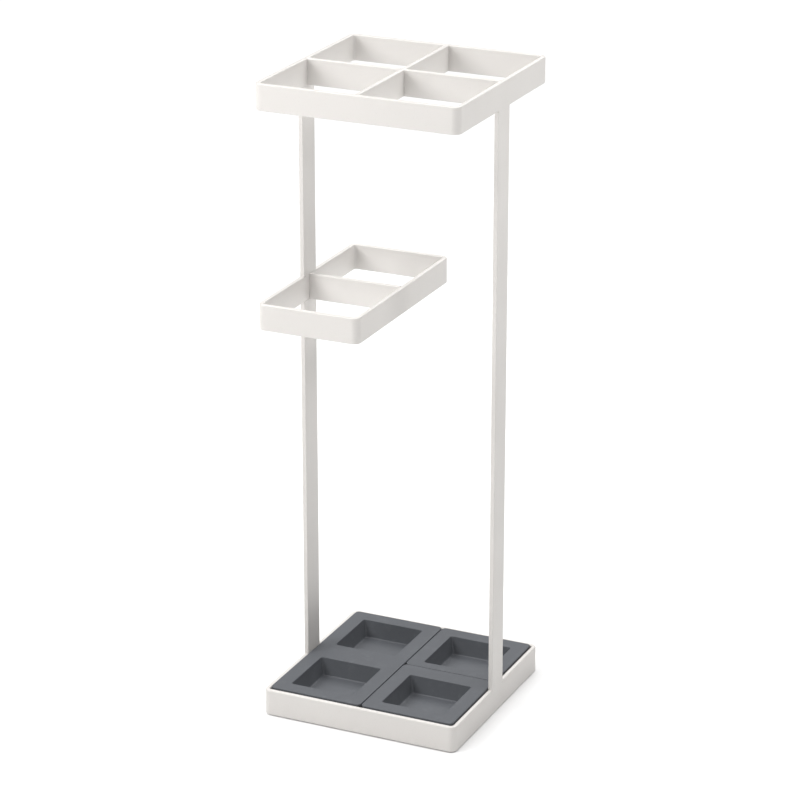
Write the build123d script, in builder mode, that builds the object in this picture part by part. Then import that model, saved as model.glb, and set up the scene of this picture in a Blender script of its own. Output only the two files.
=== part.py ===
"""Umbrella stand: a square frame of flat steel bar with a four-cell top, a two-cell middle and drip trays.

All sizes are in millimetres. The origin is at the bottom centre, +Z is up, and the front faces -Y.
"""

import os

from build123d import *

os.makedirs("parts", exist_ok=True)

# ---------------------------------------------------------------- driving dimensions
# Frame of flat bar
stand_width = 225.0
stand_depth = 228.0
stand_height = 700.0
bar_thickness = 5.0
corner_radius = 8.0
top_ring_height = 28.0
mid_ring_height = 28.0
mid_ring_top = 467.0
base_wall_height = 29.0
post_width = 28.0
post_notch = 2.0
ring_notch = 1.0
rim_round = 1.2
base_rim_round = 1.8
lower_edge_round = 0.6
post_edge_round = 0.7
halving_clearance = 0.05

# Floor, lugs and feet
wall_lift = 1.0
foot_height = 8.0
plate_thickness = 2.0
lug_height = 10.0
lug_clearance = 2.0
foot_wall_gap = 1.5
foot_recess_depth = 4.5
foot_edge_round = 0.8

# Foot screws and washers
screw_diameter = 4.0
screw_head_diameter = 7.0
screw_head_height = 2.4
screw_head_round = 0.9
thread_engagement = 7.0
thread_end_room = 1.0
thread_clearance = 0.05
hole_clearance = 0.2
washer_diameter = 8.0
washer_thickness = 0.8
washer_bore_clearance = 0.15
head_room = 0.4
cross_slot_length = 3.8
cross_slot_width = 0.9
cross_slot_depth = 1.2

# Drip trays
tray_gap = 0.75
tray_to_tray_gap = 1.0
tray_proud = 1.5
right_seam_shift = 5.0
flange_thickness = 3.0
flange_corner_radius = 4.5
flange_rim_width = 17.0
flange_round = 0.8
tray_wall = 2.0
tray_floor = 1.5
recess_corner_radius = 2.5
recess_floor_inset = 4.0
recess_floor_round = 1.5

# ---------------------------------------------------------------- worked-out levels and sizes
half_width = stand_width / 2
inner_width = stand_width - 2 * bar_thickness
inner_depth = stand_depth - 2 * bar_thickness
inner_corner_radius = corner_radius - bar_thickness
post_centre_x = half_width - bar_thickness / 2
tongue_thickness = bar_thickness - base_rim_round
tongue_centre_x = half_width - tongue_thickness / 2
shoulder_thickness = bar_thickness - tongue_thickness
shoulder_centre_x = half_width - tongue_thickness - shoulder_thickness / 2

base_top = wall_lift + base_wall_height
top_ring_bottom = stand_height - top_ring_height
mid_ring_bottom = mid_ring_top - mid_ring_height
mid_ring_right = bar_thickness / 2
mid_ring_width = mid_ring_right + half_width

plate_top = foot_height + plate_thickness
tray_top = base_top + tray_proud
flange_bottom = tray_top - flange_thickness
recess_floor = plate_top + tray_floor

tray_width = (inner_width - 2 * tray_gap - tray_to_tray_gap) / 2
tray_length = (inner_depth - 2 * tray_gap - tray_to_tray_gap) / 2
tray_centre_x = (tray_width + tray_to_tray_gap) / 2
tray_centre_y = (tray_length + tray_to_tray_gap) / 2
tray_end_y = inner_depth / 2 - tray_gap
recess_width = tray_width - 2 * flange_rim_width
recess_length = tray_length - 2 * flange_rim_width

corner_pocket = flange_rim_width - tray_wall + tray_gap
lug_side = corner_pocket - 2 * lug_clearance
lug_x = inner_width / 2 - corner_pocket / 2
lug_y = inner_depth / 2 - corner_pocket / 2
foot_radius = corner_pocket / 2 - foot_wall_gap
washer_bottom = foot_recess_depth - washer_thickness
screw_tip = plate_top + thread_engagement
screw_hole_radius = screw_diameter / 2 + hole_clearance

corners = {
    "front_left": (-lug_x, -lug_y),
    "front_right": (lug_x, -lug_y),
    "back_left": (-lug_x, lug_y),
    "back_right": (lug_x, lug_y),
}


# ---------------------------------------------------------------- helpers
def edges_at(builder, level):
    """Edges that lie in the level plane at this height."""
    slack = 0.01
    return builder.edges().filter_by_position(Axis.Z, level - slack, level + slack)


def save(part, name):
    """Label a finished piece and write it to its own STEP file."""
    part.label = name
    export_step(part, f"parts/{name}.step")


def flat_divider(length, along, centre, bottom, height):
    """A flat bar on edge, along X or Y, with its long edges eased and its ends left square."""
    size = (length, bar_thickness) if along == Axis.X else (bar_thickness, length)
    with BuildPart() as bar:
        with BuildSketch(Plane.XY.offset(bottom)):
            with Locations(centre):
                Rectangle(*size)
        extrude(amount=height)
        fillet(edges_at(bar, bottom + height).filter_by(along), rim_round)
        fillet(edges_at(bar, bottom).filter_by(along), lower_edge_round)
    return bar.part


def tongue_slots(sides, bottom, depth):
    """Solids to cut where a post's tongue enters a ring, open to the ring's outer face."""
    with BuildPart() as slots:
        with BuildSketch(Plane.XY.offset(bottom)):
            with Locations(*[(side * tongue_centre_x, 0) for side in sides]):
                Rectangle(tongue_thickness, post_width)
        extrude(amount=depth)
    return slots.part


def upright(side, bottom, top):
    """A flat bar upright between two rings, cut back inside at each end to leave a thinner tongue."""
    tongue_bottom = bottom - post_notch
    tongue_top = top + ring_notch
    with BuildPart() as post:
        with BuildSketch(Plane.XY.offset(tongue_bottom)):
            with Locations((side * post_centre_x, 0)):
                RectangleRounded(bar_thickness, post_width, post_edge_round)
        extrude(amount=tongue_top - tongue_bottom)
        for level, depth in ((tongue_bottom, post_notch), (top, ring_notch)):
            with BuildSketch(Plane.XY.offset(level)):
                with Locations((side * shoulder_centre_x, 0)):
                    Rectangle(shoulder_thickness, post_width)
            extrude(amount=depth, mode=Mode.SUBTRACT)
    return post.part


# ---------------------------------------------------------------- top ring and its two dividers
top_ring_slots = tongue_slots((-1, 1), top_ring_bottom, ring_notch)

with BuildPart() as top_ring:
    with BuildSketch(Plane.XY.offset(top_ring_bottom)):
        RectangleRounded(stand_width, stand_depth, corner_radius)
        RectangleRounded(inner_width, inner_depth, inner_corner_radius, mode=Mode.SUBTRACT)
    extrude(amount=top_ring_height)
    fillet(edges_at(top_ring, stand_height), rim_round)
    fillet(edges_at(top_ring, top_ring_bottom), lower_edge_round)
    add(top_ring_slots, mode=Mode.SUBTRACT)
save(top_ring.part, "top_ring")

halving_width = bar_thickness + 2 * halving_clearance
halving_depth = top_ring_height / 2
halving_level = top_ring_bottom + halving_depth

long_bar = flat_divider(inner_width, Axis.X, (0, 0), top_ring_bottom, top_ring_height)
cross_bar = flat_divider(inner_depth, Axis.Y, (0, 0), top_ring_bottom, top_ring_height)

with BuildPart() as top_long_divider:
    add(long_bar)
    with BuildSketch(Plane.XY.offset(halving_level)):
        Rectangle(halving_width, bar_thickness)
    extrude(amount=halving_depth, mode=Mode.SUBTRACT)
save(top_long_divider.part, "top_long_divider")

with BuildPart() as top_cross_divider:
    add(cross_bar)
    with BuildSketch(Plane.XY.offset(top_ring_bottom)):
        Rectangle(bar_thickness, halving_width)
    extrude(amount=halving_depth, mode=Mode.SUBTRACT)
save(top_cross_divider.part, "top_cross_divider")

# ---------------------------------------------------------------- middle ring and its divider
mid_ring_centre_x = mid_ring_right - mid_ring_width / 2
mid_ring_size = (mid_ring_width, stand_depth)
mid_ring_inner_size = (mid_ring_width - 2 * bar_thickness, inner_depth)

upper_post_slot = tongue_slots((-1,), mid_ring_top - post_notch, post_notch)
lower_post_slot = tongue_slots((-1,), mid_ring_bottom, ring_notch)

with BuildPart() as mid_ring:
    with BuildSketch(Plane.XY.offset(mid_ring_bottom)):
        with Locations((mid_ring_centre_x, 0)):
            RectangleRounded(*mid_ring_size, corner_radius)
            RectangleRounded(*mid_ring_inner_size, inner_corner_radius, mode=Mode.SUBTRACT)
    extrude(amount=mid_ring_height)
    fillet(edges_at(mid_ring, mid_ring_top), rim_round)
    fillet(edges_at(mid_ring, mid_ring_bottom), lower_edge_round)
    add(upper_post_slot, mode=Mode.SUBTRACT)
    add(lower_post_slot, mode=Mode.SUBTRACT)
save(mid_ring.part, "mid_ring")

mid_divider = flat_divider(
    mid_ring_width - 2 * bar_thickness, Axis.X, (mid_ring_centre_x, 0), mid_ring_bottom, mid_ring_height
)
save(mid_divider, "mid_divider")

# ---------------------------------------------------------------- posts; the middle ring divides the left one
save(upright(-1, base_top, mid_ring_bottom), "left_post_lower")
save(upright(-1, mid_ring_top, top_ring_bottom), "left_post_upper")
save(upright(1, base_top, top_ring_bottom), "right_post")

# ---------------------------------------------------------------- base wall and the floor plate inside it
base_wall_slots = tongue_slots((-1, 1), base_top - post_notch, post_notch)

with BuildPart() as base_wall:
    with BuildSketch(Plane.XY.offset(wall_lift)):
        RectangleRounded(stand_width, stand_depth, corner_radius)
        RectangleRounded(inner_width, inner_depth, inner_corner_radius, mode=Mode.SUBTRACT)
    extrude(amount=base_wall_height)
    fillet(edges_at(base_wall, base_top), base_rim_round)
    fillet(edges_at(base_wall, wall_lift), lower_edge_round)
    add(base_wall_slots, mode=Mode.SUBTRACT)
save(base_wall.part, "base_wall")

with BuildPart() as floor_plate:
    with BuildSketch(Plane.XY.offset(foot_height)):
        RectangleRounded(inner_width, inner_depth, inner_corner_radius)
        with Locations(*corners.values()):
            Circle(screw_hole_radius, mode=Mode.SUBTRACT)
    extrude(amount=plate_thickness)
save(floor_plate.part, "floor_plate")

# ---------------------------------------------------------------- threaded lugs and rubber feet
thread_hole_radius = screw_diameter / 2 + thread_clearance
thread_hole_depth = thread_engagement + thread_end_room
foot_recess_radius = washer_diameter / 2 + head_room

for corner, place in corners.items():
    with BuildPart() as lug:
        with BuildSketch(Plane.XY.offset(plate_top)):
            with Locations(place):
                Rectangle(lug_side, lug_side)
        extrude(amount=lug_height)
        fillet(lug.edges().filter_by(Axis.Z), lower_edge_round)
        with BuildSketch(Plane.XY.offset(plate_top)):
            with Locations(place):
                Circle(thread_hole_radius)
        extrude(amount=thread_hole_depth, mode=Mode.SUBTRACT)
    save(lug.part, f"lug_{corner}")

    with BuildPart() as foot:
        with BuildSketch(Plane.XY):
            with Locations(place):
                Circle(foot_radius)
        extrude(amount=foot_height)
        fillet(edges_at(foot, 0), foot_edge_round)
        with BuildSketch(Plane.XY):
            with Locations(place):
                Circle(foot_recess_radius)
        extrude(amount=foot_recess_depth, mode=Mode.SUBTRACT)
        with BuildSketch(Plane.XY.offset(foot_recess_depth)):
            with Locations(place):
                Circle(screw_hole_radius)
        extrude(amount=foot_height - foot_recess_depth, mode=Mode.SUBTRACT)
    save(foot.part, f"foot_{corner}")

with BuildPart() as foot_washers:
    with BuildSketch(Plane.XY.offset(washer_bottom)):
        with Locations(*corners.values()):
            Circle(washer_diameter / 2)
            Circle(screw_diameter / 2 + washer_bore_clearance, mode=Mode.SUBTRACT)
    extrude(amount=washer_thickness)
save(foot_washers.part, "foot_washers")

head_bottom = washer_bottom - screw_head_height

with BuildPart() as foot_screws:
    with BuildSketch(Plane.XY.offset(head_bottom)):
        with Locations(*corners.values()):
            Circle(screw_head_diameter / 2)
    extrude(amount=screw_head_height)
    fillet(edges_at(foot_screws, head_bottom), screw_head_round)
    with BuildSketch(Plane.XY.offset(washer_bottom)):
        with Locations(*corners.values()):
            Circle(screw_diameter / 2)
    extrude(amount=screw_tip - washer_bottom)
    with BuildSketch(Plane.XY.offset(head_bottom)):
        with Locations(*corners.values()):
            Rectangle(cross_slot_length, cross_slot_width)
            Rectangle(cross_slot_width, cross_slot_length)
    extrude(amount=cross_slot_depth, mode=Mode.SUBTRACT)
save(foot_screws.part, "foot_screws")


# ---------------------------------------------------------------- drip trays
def cup_section(centre, level, grow, depth_share):
    """One level section of a recess: it narrows towards the floor, and grow adds the wall."""
    inset = recess_floor_inset * depth_share
    width = recess_width - 2 * inset + 2 * grow
    length = recess_length - 2 * inset + 2 * grow
    with BuildSketch(Plane.XY.offset(level)) as section:
        with Locations(centre):
            RectangleRounded(width, length, recess_corner_radius + grow)
    return section.sketch


def drip_tray(name, recess_centres, front, back):
    """A moulded tray: one flange from front to back, and a tapered cup under it at each recess."""
    centre = (recess_centres[0][0], (front + back) / 2)
    recess_depth = tray_top - recess_floor
    flange_share = flange_thickness / recess_depth
    with BuildPart() as tray:
        with BuildSketch(Plane.XY.offset(flange_bottom)):
            with Locations(centre):
                RectangleRounded(tray_width, back - front, flange_corner_radius)
        extrude(amount=flange_thickness)
        for place in recess_centres:
            outer_top = cup_section(place, flange_bottom, tray_wall, flange_share)
            outer_bottom = cup_section(place, plate_top, tray_wall, 1)
            loft(sections=[outer_bottom, outer_top], ruled=True)
        for place in recess_centres:
            inner_top = cup_section(place, tray_top, 0, 0)
            inner_bottom = cup_section(place, recess_floor, 0, 1)
            loft(sections=[inner_bottom, inner_top], ruled=True, mode=Mode.SUBTRACT)
        fillet(edges_at(tray, recess_floor), recess_floor_round)
        fillet(edges_at(tray, tray_top), flange_round)
    save(tray.part, name)


front_seam_y = right_seam_shift - tray_to_tray_gap / 2
back_seam_y = right_seam_shift + tray_to_tray_gap / 2
left_recesses = [(-tray_centre_x, -tray_centre_y), (-tray_centre_x, tray_centre_y)]

drip_tray("tray_double", left_recesses, -tray_end_y, tray_end_y)
drip_tray("tray_front_right", [(tray_centre_x, -tray_centre_y)], -tray_end_y, front_seam_y)
drip_tray("tray_back_right", [(tray_centre_x, tray_centre_y)], back_seam_y, tray_end_y)
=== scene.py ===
"""Umbrella stand: powder-coated bar frame, moulded drip trays, rubber feet and a plain studio."""

import math

import bmesh
import bpy
from bpy.props import FloatProperty, FloatVectorProperty, PointerProperty
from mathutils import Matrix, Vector


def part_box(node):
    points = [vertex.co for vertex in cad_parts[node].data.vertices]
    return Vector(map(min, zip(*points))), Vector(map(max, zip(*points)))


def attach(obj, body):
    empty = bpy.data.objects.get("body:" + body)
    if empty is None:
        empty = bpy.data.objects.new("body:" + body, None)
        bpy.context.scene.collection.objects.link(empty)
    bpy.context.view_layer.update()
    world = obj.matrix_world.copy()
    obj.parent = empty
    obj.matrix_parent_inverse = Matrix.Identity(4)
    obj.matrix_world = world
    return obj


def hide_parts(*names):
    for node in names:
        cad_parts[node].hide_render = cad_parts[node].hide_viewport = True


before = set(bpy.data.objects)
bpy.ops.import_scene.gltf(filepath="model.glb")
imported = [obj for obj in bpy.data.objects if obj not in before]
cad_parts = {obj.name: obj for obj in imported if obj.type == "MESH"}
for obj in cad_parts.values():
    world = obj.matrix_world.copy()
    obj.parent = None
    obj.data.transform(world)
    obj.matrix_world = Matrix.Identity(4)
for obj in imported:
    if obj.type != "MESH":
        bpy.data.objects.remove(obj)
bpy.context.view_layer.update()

bl_info = {
    "name": "Umbrella Stand Finisher",
    "version": (1, 0, 0),
    "blender": (4, 5, 0),
    "location": "3D View > Sidebar > Stand",
    "description": "Coats the bar frame, moulds the drip trays and sets up a plain studio",
    "category": "Object",
}

STAND = "stand"
MM = 0.001
LEVEL_SLACK = 0.02 * MM
FACE_SLACK = 0.05 * MM
CREASE_ANGLE = math.radians(30)
SHARP_ANGLE = math.radians(40)
FULL_TURN = 2 * math.pi
LONG_TRAY = "tray_double"
TRAYS = {
    "double_tray_moulding": (LONG_TRAY, "double_tray", (-1, 1)),
    "front_right_tray_moulding": ("tray_front_right", "front_right_tray", (-1,)),
    "back_right_tray_moulding": ("tray_back_right", "back_right_tray", (1,)),
}
CORNERS = ("front_left", "front_right", "back_left", "back_right")
FASTENER_NODES = ("foot_screws", "foot_washers")
COATED_NODES = (
    "top_ring", "top_long_divider", "top_cross_divider", "mid_ring", "mid_divider",
    "left_post_lower", "left_post_upper", "right_post", "base_wall", "floor_plate",
    *(f"lug_{corner}" for corner in CORNERS),
)


# ---------------------------------------------------------------- shader building
class Signal:
    """A shader socket on which plain arithmetic adds the Math nodes."""

    def __init__(self, finish, socket):
        self.finish = finish
        self.socket = socket

    def _math(self, operation, first, second):
        node = self.finish.node("ShaderNodeMath", {"operation": operation}, {0: first, 1: second})
        return Signal(self.finish, node.outputs[0])

    def __add__(self, other):
        return self._math("ADD", self, other)

    def __radd__(self, other):
        return self._math("ADD", other, self)

    def __sub__(self, other):
        return self._math("SUBTRACT", self, other)

    def __rsub__(self, other):
        return self._math("SUBTRACT", other, self)

    def __mul__(self, other):
        return self._math("MULTIPLY", self, other)

    def __rmul__(self, other):
        return self._math("MULTIPLY", other, self)


class Finish:
    """One material: a Principled surface and the nodes that feed it."""

    def __init__(self, name, **surface):
        self.material = bpy.data.materials.new(name)
        self.material.use_nodes = True
        self.tree = self.material.node_tree
        self.tree.nodes.clear()
        self.shader = self.node("ShaderNodeBsdfPrincipled", {}, surface)
        self.node("ShaderNodeOutputMaterial", {}, {"Surface": self.shader.outputs[0]})
        self.place = self.node("ShaderNodeTexCoord").outputs["Object"]

    def node(self, kind, settings=None, sockets=None):
        """Add a node: its settings first, then the values or links of its sockets."""
        made = self.tree.nodes.new(kind)
        for key, value in (settings or {}).items():
            setattr(made, key, value)
        for key, value in (sockets or {}).items():
            self.feed(made.inputs[key], value)
        return made

    def feed(self, socket, value):
        """Link a socket to a signal or an output, or set its own value."""
        if isinstance(value, Signal):
            value = value.socket
        if isinstance(value, bpy.types.NodeSocket):
            self.tree.links.new(value, socket)
        else:
            socket.default_value = value

    def noise(self, grain, detail=2.0, roughness=0.5):
        """Cloudy noise from 0 to 1 whose lumps are about one grain across, in metres."""
        sockets = {"Vector": self.place, "Scale": 1 / grain, "Detail": detail, "Roughness": roughness}
        return Signal(self, self.node("ShaderNodeTexNoise", {}, sockets).outputs["Fac"])

    def level(self, signal, low, high):
        """Stretch the part of a signal between low and high to the range 0 to 1."""
        sockets = {"Value": signal, "From Min": low, "From Max": high}
        return Signal(self, self.node("ShaderNodeMapRange", {"clamp": True}, sockets).outputs[0])

    def blend(self, share, first, second):
        """Mix two colours by a signal."""
        settings = {"data_type": "RGBA"}
        made = self.node("ShaderNodeMix", settings, {0: share, 6: rgba(first), 7: rgba(second)})
        return made.outputs[2]

    def bump(self, height, depth, below=None):
        """Raise the surface by a signal; depth is in metres. Bumps can be stacked."""
        sockets = {"Height": height, "Distance": depth, "Strength": 1.0}
        if below is not None:
            sockets["Normal"] = below
        return self.node("ShaderNodeBump", {}, sockets).outputs["Normal"]

    def set(self, **inputs):
        """Feed the surface's own inputs; underscores in the names stand for spaces."""
        for key, value in inputs.items():
            self.feed(self.shader.inputs[key.replace("_", " ")], value)


def rgba(colour):
    """A colour with full alpha; links pass through."""
    return colour if isinstance(colour, bpy.types.NodeSocket) else (*colour, 1.0)


def shade(colour, factor):
    """The same colour, lighter or darker."""
    return tuple(channel * factor for channel in colour)


def powder_coat(look):
    """White powder coat: faint orange peel over a finer grain, and a slow drift of tone."""
    finish = Finish("white_powder_coat", **{"Specular IOR Level": 0.45, "Coat Roughness": 0.3})
    drift = finish.level(finish.noise(0.06, 3.0), 0.3, 0.7)
    peel = finish.noise(look.peel_size, 1.0)
    grain = finish.noise(look.peel_size / 5, 1.0)
    specks = finish.level(finish.noise(0.0011, 0.0), 0.2, 0.26)
    tone = finish.blend(drift, look.colour, shade(look.colour, 0.975))
    toned = finish.blend(specks, shade(look.colour, 0.93), tone)
    pitted = finish.bump(peel, look.peel_depth)
    finish.set(
        Base_Color=toned,
        Roughness=look.roughness + 0.08 * drift + 0.05 * grain,
        Coat_Weight=0.12 * peel,
        Normal=finish.bump(grain, look.peel_depth / 8, pitted),
    )
    return finish.material


def moulded_plastic(look):
    """Dark matte moulding: spark-eroded grain, a drift of tone and faint dried-water marks."""
    finish = Finish("dark_matte_moulding", **{"Specular IOR Level": 0.4})
    drift = finish.level(finish.noise(0.045, 3.0, 0.6), 0.3, 0.7)
    grain = finish.noise(look.grain_size, 2.0, 0.6)
    pit_sockets = {"Vector": finish.place, "Scale": 1 / (2 * look.grain_size)}
    pits = finish.node("ShaderNodeTexVoronoi", {}, pit_sockets)
    pitted = Signal(finish, pits.outputs["Distance"])
    marks = finish.level(finish.noise(0.012, 4.0, 0.65), 0.55, 0.75)
    tone = finish.blend(drift, shade(look.colour, 0.95), shade(look.colour, 1.05))
    grained = finish.blend(grain, tone, shade(look.colour, 1.08))
    finish.set(
        Base_Color=finish.blend(0.06 * marks, grained, (0.4, 0.42, 0.44)),
        Roughness=look.roughness + 0.06 * marks + 0.08 * pitted,
        Normal=finish.bump(grain + 0.6 * pitted, look.grain_depth),
    )
    return finish.material


def soft_rubber(look):
    """Black rubber: fine matte skin with a little bloom."""
    finish = Finish("foot_rubber", **{"Specular IOR Level": 0.35})
    bloom = finish.level(finish.noise(0.004, 3.0), 0.35, 0.7)
    skin = finish.noise(0.0004, 2.0)
    finish.set(
        Base_Color=finish.blend(bloom, look.colour, shade(look.colour, 1.6)),
        Roughness=0.7 + 0.15 * bloom,
        Normal=finish.bump(skin, 0.00005),
    )
    return finish.material


def zinc_steel(look):
    """Zinc-plated steel: a fine noisy grain in the gloss and a patchy blue-grey tone."""
    finish = Finish("zinc_plated_steel", **{"Metallic": 1.0})
    patches = finish.level(finish.noise(0.003, 3.0), 0.3, 0.7)
    scratches = finish.noise(0.0003, 3.0)
    finish.set(
        Base_Color=finish.blend(patches, look.colour, shade(look.colour, 0.85)),
        Roughness=0.28 + 0.14 * scratches,
        Normal=finish.bump(scratches, 0.00002),
    )
    return finish.material


def pale_floor(look):
    """The studio floor: pale, smooth and matte."""
    finish = Finish("studio_floor", **{"Specular IOR Level": 0.0, "Roughness": 0.9})
    finish.set(Base_Color=rgba(look.floor_colour))
    return finish.material


def dress(nodes, material):
    """Give these nodes of the frame one material."""
    for name in nodes:
        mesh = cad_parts[name].data
        mesh.materials.clear()
        mesh.materials.append(material)


# ---------------------------------------------------------------- mesh building
def finish_piece(bm, name, material, body, replaced=()):
    """Write the mesh to a new piece at the origin, and fasten it to its body."""
    bmesh.ops.recalc_face_normals(bm, faces=bm.faces)
    for face in bm.faces:
        face.smooth = True
    for edge in bm.edges:
        edge.smooth = edge.calc_face_angle(0) < SHARP_ANGLE
    mesh = bpy.data.meshes.new(name)
    bm.to_mesh(mesh)
    bm.free()
    piece = bpy.data.objects.new(name, mesh)
    bpy.context.scene.collection.objects.link(piece)
    mesh.materials.append(material)
    weighted = piece.modifiers.new("even_shading", "WEIGHTED_NORMAL")
    weighted.keep_sharp = True
    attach(piece, body)
    if replaced:
        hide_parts(*replaced)
    return piece


def round_edges(bm, edges, radius, segments=3):
    """Round these edges."""
    bmesh.ops.bevel(
        bm, geom=edges, offset=radius, offset_type="OFFSET", segments=segments,
        profile=0.5, affect="EDGES", material=-1, clamp_overlap=False,
    )


def is_crease(edge):
    """Whether two faces meet here at a clear angle."""
    return len(edge.link_faces) == 2 and edge.calc_face_angle() > CREASE_ANGLE


def is_within(point, centre, reach):
    """Whether a point is within reach of a centre in plan."""
    return abs(point.x - centre[0]) < reach[0] and abs(point.y - centre[1]) < reach[1]


def creases(bm, level):
    """Creased edges that lie in the level plane at this height."""
    return [
        edge for edge in bm.edges
        if all(abs(vert.co.z - level) < LEVEL_SLACK for vert in edge.verts) and is_crease(edge)
    ]


def standing_corners(bm, low, high, centre, reach):
    """Creased edges that rise from one height to another, within reach of a centre in plan."""
    found = []
    for edge in bm.edges:
        heights = sorted(vert.co.z for vert in edge.verts)
        middle = (edge.verts[0].co + edge.verts[1].co) / 2
        rises = abs(heights[0] - low) < LEVEL_SLACK and abs(heights[1] - high) < LEVEL_SLACK
        if rises and is_within(middle, centre, reach) and is_crease(edge):
            found.append(edge)
    return found


def cut_outline(bm, faces, centre, half):
    """Cut these faces along the four lines of a rectangle in plan."""
    for axis in (0, 1):
        for side in (-1, 1):
            place = Vector((centre[0], centre[1], 0))
            place[axis] += side * half[axis]
            normal = Vector((0, 0, 0))
            normal[axis] = 1
            live = [face for face in bm.faces if faces(face)]
            edges = dict.fromkeys(edge for face in live for edge in face.edges)
            verts = dict.fromkeys(vert for face in live for vert in face.verts)
            geom = [*live, *edges, *verts]
            bmesh.ops.bisect_plane(bm, geom=geom, dist=0.001 * MM, plane_co=place, plane_no=normal)


def level_faces(level, up):
    """A test for level faces at this height that face up (1) or down (-1)."""
    def test(face):
        return abs(face.calc_center_median().z - level) < FACE_SLACK and face.normal.z * up > 0.9
    return test


def sink_face(bm, faces, centre, half, inset, drop):
    """Move the face inside a rectangle in plan along its normal, and shrink it by the inset."""
    found = [
        face for face in bm.faces
        if faces(face) and is_within(face.calc_center_median(), centre, half)
    ]
    if not found:
        raise RuntimeError(f"no level face at {tuple(centre)}")
    bmesh.ops.inset_individual(bm, faces=found[:1], thickness=inset, depth=drop, use_even_offset=True)


def moulded_tray(look, node, cells):
    """A rounded flange, with a tapered recess in a tapered cup at each front (-1) or back (1) cell."""
    low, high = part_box(node)
    size = high - low
    middle = (low + high) / 2
    thickness = look.flange_thickness
    under = high.z - thickness
    bm = bmesh.new()
    bmesh.ops.create_cube(bm, size=1)
    bmesh.ops.scale(bm, vec=(size.x, size.y, thickness), verts=bm.verts)
    bmesh.ops.translate(bm, vec=(middle.x, middle.y, high.z - thickness / 2), verts=bm.verts)
    flange_corners = standing_corners(bm, under, high.z, middle, (size.x, size.y))
    round_edges(bm, flange_corners, look.flange_corner, 6)

    front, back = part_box(LONG_TRAY)
    cell_length = (back.y - front.y - look.cell_gap) / 2
    centres = [(middle.x, side * (cell_length + look.cell_gap) / 2) for side in cells]
    mouth = (size.x / 2 - look.rim_width, cell_length / 2 - look.rim_width)
    floor_level = low.z + look.floor_thickness
    depth = high.z - floor_level
    slope = look.floor_inset / depth
    cup = [half + look.wall_thickness - slope * thickness for half in mouth]
    cup_depth = under - low.z
    undersides = level_faces(under, -1)
    topsides = level_faces(high.z, 1)

    for centre in centres:
        cut_outline(bm, undersides, centre, cup)
    for centre in centres:
        sink_face(bm, undersides, centre, cup, slope * cup_depth, cup_depth)
    for centre in centres:
        cut_outline(bm, topsides, centre, mouth)
    for centre in centres:
        sink_face(bm, topsides, centre, mouth, look.floor_inset, -depth)

    reach = (size.x / 2, cell_length / 2)
    for centre in centres:
        cup_corners = standing_corners(bm, low.z, under, centre, reach)
        round_edges(bm, cup_corners, look.recess_corner + look.wall_thickness, 5)
        recess_corners = standing_corners(bm, floor_level, high.z, centre, reach)
        round_edges(bm, recess_corners, look.recess_corner, 5)
    round_edges(bm, creases(bm, floor_level), look.floor_round, 4)
    round_edges(bm, creases(bm, low.z), look.floor_round, 3)
    round_edges(bm, creases(bm, high.z), look.rim_round, 4)
    round_edges(bm, creases(bm, under), look.under_round, 2)
    return bm


def quarter_round(centre, radius, start, steps=4):
    """Profile points on a quarter circle, clockwise from the start angle in degrees."""
    turns = [math.radians(start - 90 * step / steps) for step in range(steps + 1)]
    return [(centre[0] + radius * math.cos(turn), centre[1] + radius * math.sin(turn)) for turn in turns]


def spun_foot(look, node):
    """A foot turned about its own axis: a waisted side, a grooved sole and a pocket for the screw."""
    low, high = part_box(node)
    middle = (low + high) / 2
    outer = high.x - middle.x
    top = high.z
    waist = outer - look.groove_depth
    step = look.groove_depth
    tread = (look.pocket_radius + outer) / 2
    profile = [(look.bore_radius, look.pocket_depth), (look.bore_radius, top)]
    profile += quarter_round((outer - look.top_round, top - look.top_round), look.top_round, 90)
    profile += [(outer, look.waist_top), (waist, look.waist_top - step)]
    profile += [(waist, look.waist_bottom + step), (outer, look.waist_bottom)]
    profile += quarter_round((outer - look.sole_round, look.sole_round), look.sole_round, 0)
    profile += [(tread + step / 2, 0), (tread + step / 4, step)]
    profile += [(tread - step / 4, step), (tread - step / 2, 0)]
    profile += [(look.pocket_radius + step / 2, 0), (look.pocket_radius, step / 2)]
    profile += [(look.pocket_radius, look.pocket_depth)]
    bm = bmesh.new()
    verts = [bm.verts.new((middle.x + radius, middle.y, level)) for radius, level in profile]
    edges = [bm.edges.new((verts[i - 1], verts[i])) for i in range(len(verts))]
    bmesh.ops.spin(
        bm, geom=verts + edges, cent=(middle.x, middle.y, 0), axis=(0, 0, 1), dvec=(0, 0, 0),
        angle=FULL_TURN, steps=64, use_merge=True, use_duplicate=False,
    )
    return bm


# ---------------------------------------------------------------- settings
class FrameCoatSettings(bpy.types.PropertyGroup):
    """The frame's white powder coat."""

    colour: FloatVectorProperty(
        name="Coat colour", description="Colour of the powder coat", subtype="COLOR",
        size=3, min=0, max=1, default=(0.590, 0.569, 0.546),
    )
    roughness: FloatProperty(
        name="Coat roughness", description="How matte the powder coat is", subtype="FACTOR",
        min=0, max=1, default=0.36,
    )
    peel_size: FloatProperty(
        name="Orange-peel size", description="Width of the ripples in the powder coat",
        unit="LENGTH", default=1.6 * MM,
    )
    peel_depth: FloatProperty(
        name="Orange-peel depth", description="Height of the ripples in the powder coat",
        unit="LENGTH", precision=6, default=0.02 * MM,
    )


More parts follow.
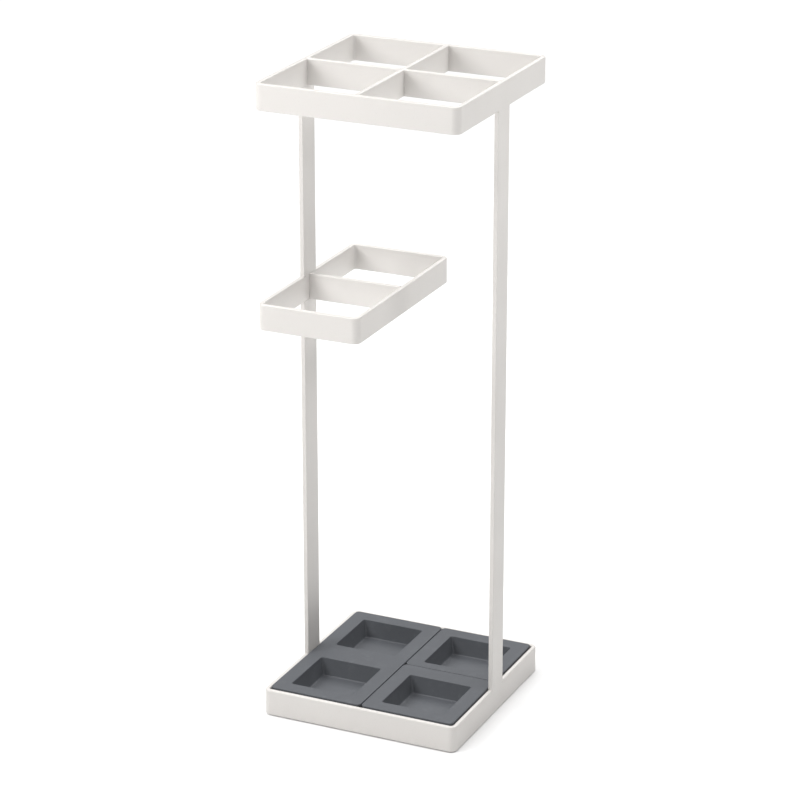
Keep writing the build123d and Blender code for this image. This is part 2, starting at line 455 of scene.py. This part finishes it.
class TraySettings(bpy.types.PropertyGroup):
    """The shape and finish of the drip trays."""

    colour: FloatVectorProperty(
        name="Tray colour", description="Colour of the moulded trays", subtype="COLOR",
        size=3, min=0, max=1, default=(0.079, 0.084, 0.093),
    )
    roughness: FloatProperty(
        name="Tray roughness", description="How matte the trays are", subtype="FACTOR",
        min=0, max=1, default=0.52,
    )
    grain_size: FloatProperty(
        name="Grain size", description="Width of the moulded grain", unit="LENGTH",
        precision=6, default=0.35 * MM,
    )
    grain_depth: FloatProperty(
        name="Grain depth", description="Depth of the moulded grain", unit="LENGTH",
        precision=6, default=0.02 * MM,
    )
    flange_thickness: FloatProperty(
        name="Flange thickness", description="Thickness of a tray's flange", unit="LENGTH",
        default=3.0 * MM,
    )
    flange_corner: FloatProperty(
        name="Flange corner", description="Radius of the flange's corners in plan", unit="LENGTH",
        default=4.5 * MM,
    )
    rim_width: FloatProperty(
        name="Rim width", description="Width of the flange round each recess", unit="LENGTH",
        default=17.0 * MM,
    )
    wall_thickness: FloatProperty(
        name="Wall thickness", description="Thickness of a recess's walls", unit="LENGTH",
        default=2.0 * MM,
    )
    floor_thickness: FloatProperty(
        name="Floor thickness", description="Thickness of a recess's floor", unit="LENGTH",
        default=1.5 * MM,
    )
    floor_inset: FloatProperty(
        name="Floor inset", description="How far each recess wall leans in by the floor", unit="LENGTH",
        default=4.0 * MM,
    )
    recess_corner: FloatProperty(
        name="Recess corner", description="Radius of the recess's upright corners", unit="LENGTH",
        default=2.5 * MM,
    )
    floor_round: FloatProperty(
        name="Floor round", description="Radius where the walls meet the floor", unit="LENGTH",
        default=1.5 * MM,
    )
    rim_round: FloatProperty(
        name="Rim round", description="Radius of the upper edges", unit="LENGTH", default=0.8 * MM,
    )
    under_round: FloatProperty(
        name="Under round", description="Radius of the flange's lower edges", unit="LENGTH",
        default=0.4 * MM,
    )
    cell_gap: FloatProperty(
        name="Cell gap", description="Gap between the front cells and the back ones", unit="LENGTH",
        default=1.0 * MM,
    )


class FootSettings(bpy.types.PropertyGroup):
    """The rubber feet."""

    colour: FloatVectorProperty(
        name="Rubber colour", description="Colour of the feet", subtype="COLOR",
        size=3, min=0, max=1, default=(0.02, 0.02, 0.022),
    )
    bore_radius: FloatProperty(
        name="Bore radius", description="Radius of the screw hole", unit="LENGTH", default=2.2 * MM,
    )
    pocket_radius: FloatProperty(
        name="Pocket radius", description="Radius of the pocket for the screw head", unit="LENGTH",
        default=4.4 * MM,
    )
    pocket_depth: FloatProperty(
        name="Pocket depth", description="Depth of the pocket for the screw head", unit="LENGTH",
        default=4.5 * MM,
    )
    top_round: FloatProperty(
        name="Top round", description="Radius of the foot's upper edge", unit="LENGTH",
        default=0.4 * MM,
    )
    sole_round: FloatProperty(
        name="Sole round", description="Radius of the foot's lower edge", unit="LENGTH",
        default=0.8 * MM,
    )
    waist_top: FloatProperty(
        name="Waist top", description="Height of the top of the groove round the foot", unit="LENGTH",
        default=5.6 * MM,
    )
    waist_bottom: FloatProperty(
        name="Waist bottom", description="Height of the bottom of the groove round the foot", unit="LENGTH",
        default=3.8 * MM,
    )
    groove_depth: FloatProperty(
        name="Groove depth", description="Depth of the grooves in the side and the sole", unit="LENGTH",
        precision=6, default=0.35 * MM,
    )


class FastenerSettings(bpy.types.PropertyGroup):
    """The foot screws and washers."""

    colour: FloatVectorProperty(
        name="Steel colour", description="Colour of the plated steel", subtype="COLOR",
        size=3, min=0, max=1, default=(0.62, 0.64, 0.67),
    )


class StudioSettings(bpy.types.PropertyGroup):
    """The floor, the lights and the camera."""

    floor_colour: FloatVectorProperty(
        name="Floor colour", description="Colour of the studio floor", subtype="COLOR",
        size=3, min=0, max=1, default=(0.82, 0.82, 0.82),
    )
    room_light: FloatProperty(
        name="Room light", description="Strength of the even light from all round", min=0, default=0.03,
    )
    overhead_light: FloatProperty(
        name="Overhead light", description="Strength of the broad light from above", min=0, default=3.9,
    )
    overhead_angle: FloatProperty(
        name="Overhead angle", description="Spread of the light from above", subtype="ANGLE",
        default=math.radians(118),
    )
    back_power: FloatProperty(
        name="Back power", description="Power of the soft light above and behind", unit="POWER",
        default=6.6,
    )
    key_power: FloatProperty(
        name="Key power", description="Power of the soft light at the front left", unit="POWER",
        default=17.7,
    )
    front_power: FloatProperty(
        name="Front power", description="Power of the narrow light at the front", unit="POWER",
        default=0.25,
    )
    side_power: FloatProperty(
        name="Side power", description="Power of the narrow light on the right", unit="POWER",
        default=0.35,
    )
    broad_size: FloatProperty(
        name="Broad size", description="Side of the two broad soft lights", unit="LENGTH", default=0.8,
    )
    narrow_size: FloatProperty(
        name="Narrow size", description="Side of the two narrow lights", unit="LENGTH", default=0.5,
    )
    narrow_beam: FloatProperty(
        name="Narrow beam", description="Spread of the two narrow lights", subtype="ANGLE",
        default=math.radians(40),
    )
    azimuth: FloatProperty(
        name="Camera azimuth", description="How far the camera stands to the right of the front",
        subtype="ANGLE", default=math.radians(24.81),
    )
    elevation: FloatProperty(
        name="Camera elevation", description="How far the camera looks down", subtype="ANGLE",
        default=math.radians(20.62),
    )
    distance: FloatProperty(
        name="Camera distance", description="From the camera to its aim", unit="LENGTH", default=3.295,
    )
    aim: FloatVectorProperty(
        name="Camera aim", description="The point that the camera looks at", subtype="XYZ",
        size=3, default=(-0.0013, -0.004, 0.3418),
    )
    lens: FloatProperty(
        name="Lens", description="Focal length of the camera, in millimetres", min=1, default=140.5,
    )


# ---------------------------------------------------------------- operators
class STAND_OT_coat_frame(bpy.types.Operator):
    """Powder-coat the rings, dividers, posts, base wall, floor plate and lugs"""

    bl_idname = "stand.coat_frame"
    bl_label = "Coat the frame"

    def execute(self, context):
        dress(COATED_NODES, powder_coat(context.scene.stand_coat))
        return {"FINISHED"}


class STAND_OT_mould_trays(bpy.types.Operator):
    """Mould the double tray and the two single trays"""

    bl_idname = "stand.mould_trays"
    bl_label = "Mould the trays"

    def execute(self, context):
        look = context.scene.stand_trays
        plastic = moulded_plastic(look)
        for name, (node, body, cells) in TRAYS.items():
            bm = moulded_tray(look, node, cells)
            finish_piece(bm, name, plastic, body, [node])
        return {"FINISHED"}


class STAND_OT_fit_feet(bpy.types.Operator):
    """Mould the rubber feet and plate the foot screws and washers"""

    bl_idname = "stand.fit_feet"
    bl_label = "Fit the feet"

    def execute(self, context):
        look = context.scene.stand_feet
        rubber = soft_rubber(look)
        steel = zinc_steel(context.scene.stand_fasteners)
        for corner in CORNERS:
            node = f"foot_{corner}"
            bm = spun_foot(look, node)
            finish_piece(bm, f"{corner}_rubber_foot", rubber, STAND, [node])
        dress(FASTENER_NODES, steel)
        return {"FINISHED"}


class STAND_OT_set_studio(bpy.types.Operator):
    """Lay a plain pale floor, and set the soft lights and the camera"""

    bl_idname = "stand.set_studio"
    bl_label = "Set the studio"

    def execute(self, context):
        look = context.scene.stand_studio
        scene = context.scene
        lay_floor(look)
        world = bpy.data.worlds.new("studio_room")
        world.use_nodes = True
        background = world.node_tree.nodes["Background"]
        background.inputs["Strength"].default_value = look.room_light
        scene.world = world
        add_sun("overhead", look.overhead_light, look.overhead_angle)
        middle = (0, 0, 0.35)
        add_softbox("back", (0, 1.273, 1.623), middle, look.broad_size, look.back_power)
        add_softbox("key", (-1.043, -1.043, 1.382), middle, look.broad_size, look.key_power)
        add_softbox(
            "front", (-0.5, -1.6, 0.9), (0, 0, 0.62),
            look.narrow_size, look.front_power, look.narrow_beam,
        )
        add_softbox(
            "side", (0.9, 0.1, 1.3), (0, 0, 0.66),
            look.narrow_size, look.side_power, look.narrow_beam,
        )
        scene.camera = add_camera(look)
        scene.view_settings.view_transform = "Standard"
        return {"FINISHED"}


def lay_floor(look):
    """A wide round floor under the feet."""
    radius = 40.0
    bm = bmesh.new()
    bmesh.ops.create_circle(bm, cap_ends=True, segments=96, radius=radius)
    mesh = bpy.data.meshes.new("studio_floor")
    bm.to_mesh(mesh)
    bm.free()
    floor = bpy.data.objects.new("studio_floor", mesh)
    bpy.context.scene.collection.objects.link(floor)
    mesh.materials.append(pale_floor(look))


def add_sun(name, strength, angle):
    """A broad light from straight above."""
    light = bpy.data.lights.new(name, "SUN")
    light.energy = strength
    light.angle = angle
    lamp = bpy.data.objects.new(name, light)
    bpy.context.scene.collection.objects.link(lamp)


def add_softbox(name, place, aim, size, power, spread=math.pi):
    """A square soft light that faces its aim, with the spread of its beam."""
    light = bpy.data.lights.new(name, "AREA")
    light.shape = "SQUARE"
    light.size = size
    light.energy = power
    light.spread = spread
    lamp = bpy.data.objects.new(name, light)
    lamp.location = place
    lamp.rotation_euler = (Vector(aim) - Vector(place)).to_track_quat("-Z", "Y").to_euler()
    bpy.context.scene.collection.objects.link(lamp)


def add_camera(look):
    """The camera, by its azimuth, elevation and distance from its aim."""
    data = bpy.data.cameras.new("studio_camera")
    data.lens = look.lens
    data.sensor_width = 36.0
    data.clip_end = 100.0
    camera = bpy.data.objects.new("studio_camera", data)
    level = math.cos(look.elevation)
    side = math.sin(look.azimuth) * level
    front = -math.cos(look.azimuth) * level
    back = Vector((side, front, math.sin(look.elevation)))
    camera.location = Vector(look.aim) + back * look.distance
    camera.rotation_euler = (-back).to_track_quat("-Z", "Y").to_euler()
    bpy.context.scene.collection.objects.link(camera)
    return camera


class STAND_PT_finisher(bpy.types.Panel):
    """Lists the steps that finish the stand"""

    bl_idname = "STAND_PT_finisher"
    bl_label = "Umbrella stand"
    bl_space_type = "VIEW_3D"
    bl_region_type = "UI"
    bl_category = "Stand"

    def draw(self, context):
        for operator in OPERATORS:
            self.layout.operator(operator.bl_idname)


OPERATORS = (STAND_OT_coat_frame, STAND_OT_mould_trays, STAND_OT_fit_feet, STAND_OT_set_studio)
SETTINGS = {
    "stand_coat": FrameCoatSettings,
    "stand_trays": TraySettings,
    "stand_feet": FootSettings,
    "stand_fasteners": FastenerSettings,
    "stand_studio": StudioSettings,
}


def register():
    for group in SETTINGS.values():
        bpy.utils.register_class(group)
    for name, group in SETTINGS.items():
        setattr(bpy.types.Scene, name, PointerProperty(type=group))
    for item in (*OPERATORS, STAND_PT_finisher):
        bpy.utils.register_class(item)


def unregister():
    for item in reversed((*OPERATORS, STAND_PT_finisher)):
        bpy.utils.unregister_class(item)
    for name in SETTINGS:
        delattr(bpy.types.Scene, name)
    for group in reversed(tuple(SETTINGS.values())):
        bpy.utils.unregister_class(group)


def main():
    """Make the whole stand and its studio."""
    register()
    bpy.ops.stand.set_studio()
    bpy.ops.stand.coat_frame()
    bpy.ops.stand.mould_trays()
    bpy.ops.stand.fit_feet()


if __name__ == "__main__":
    main()
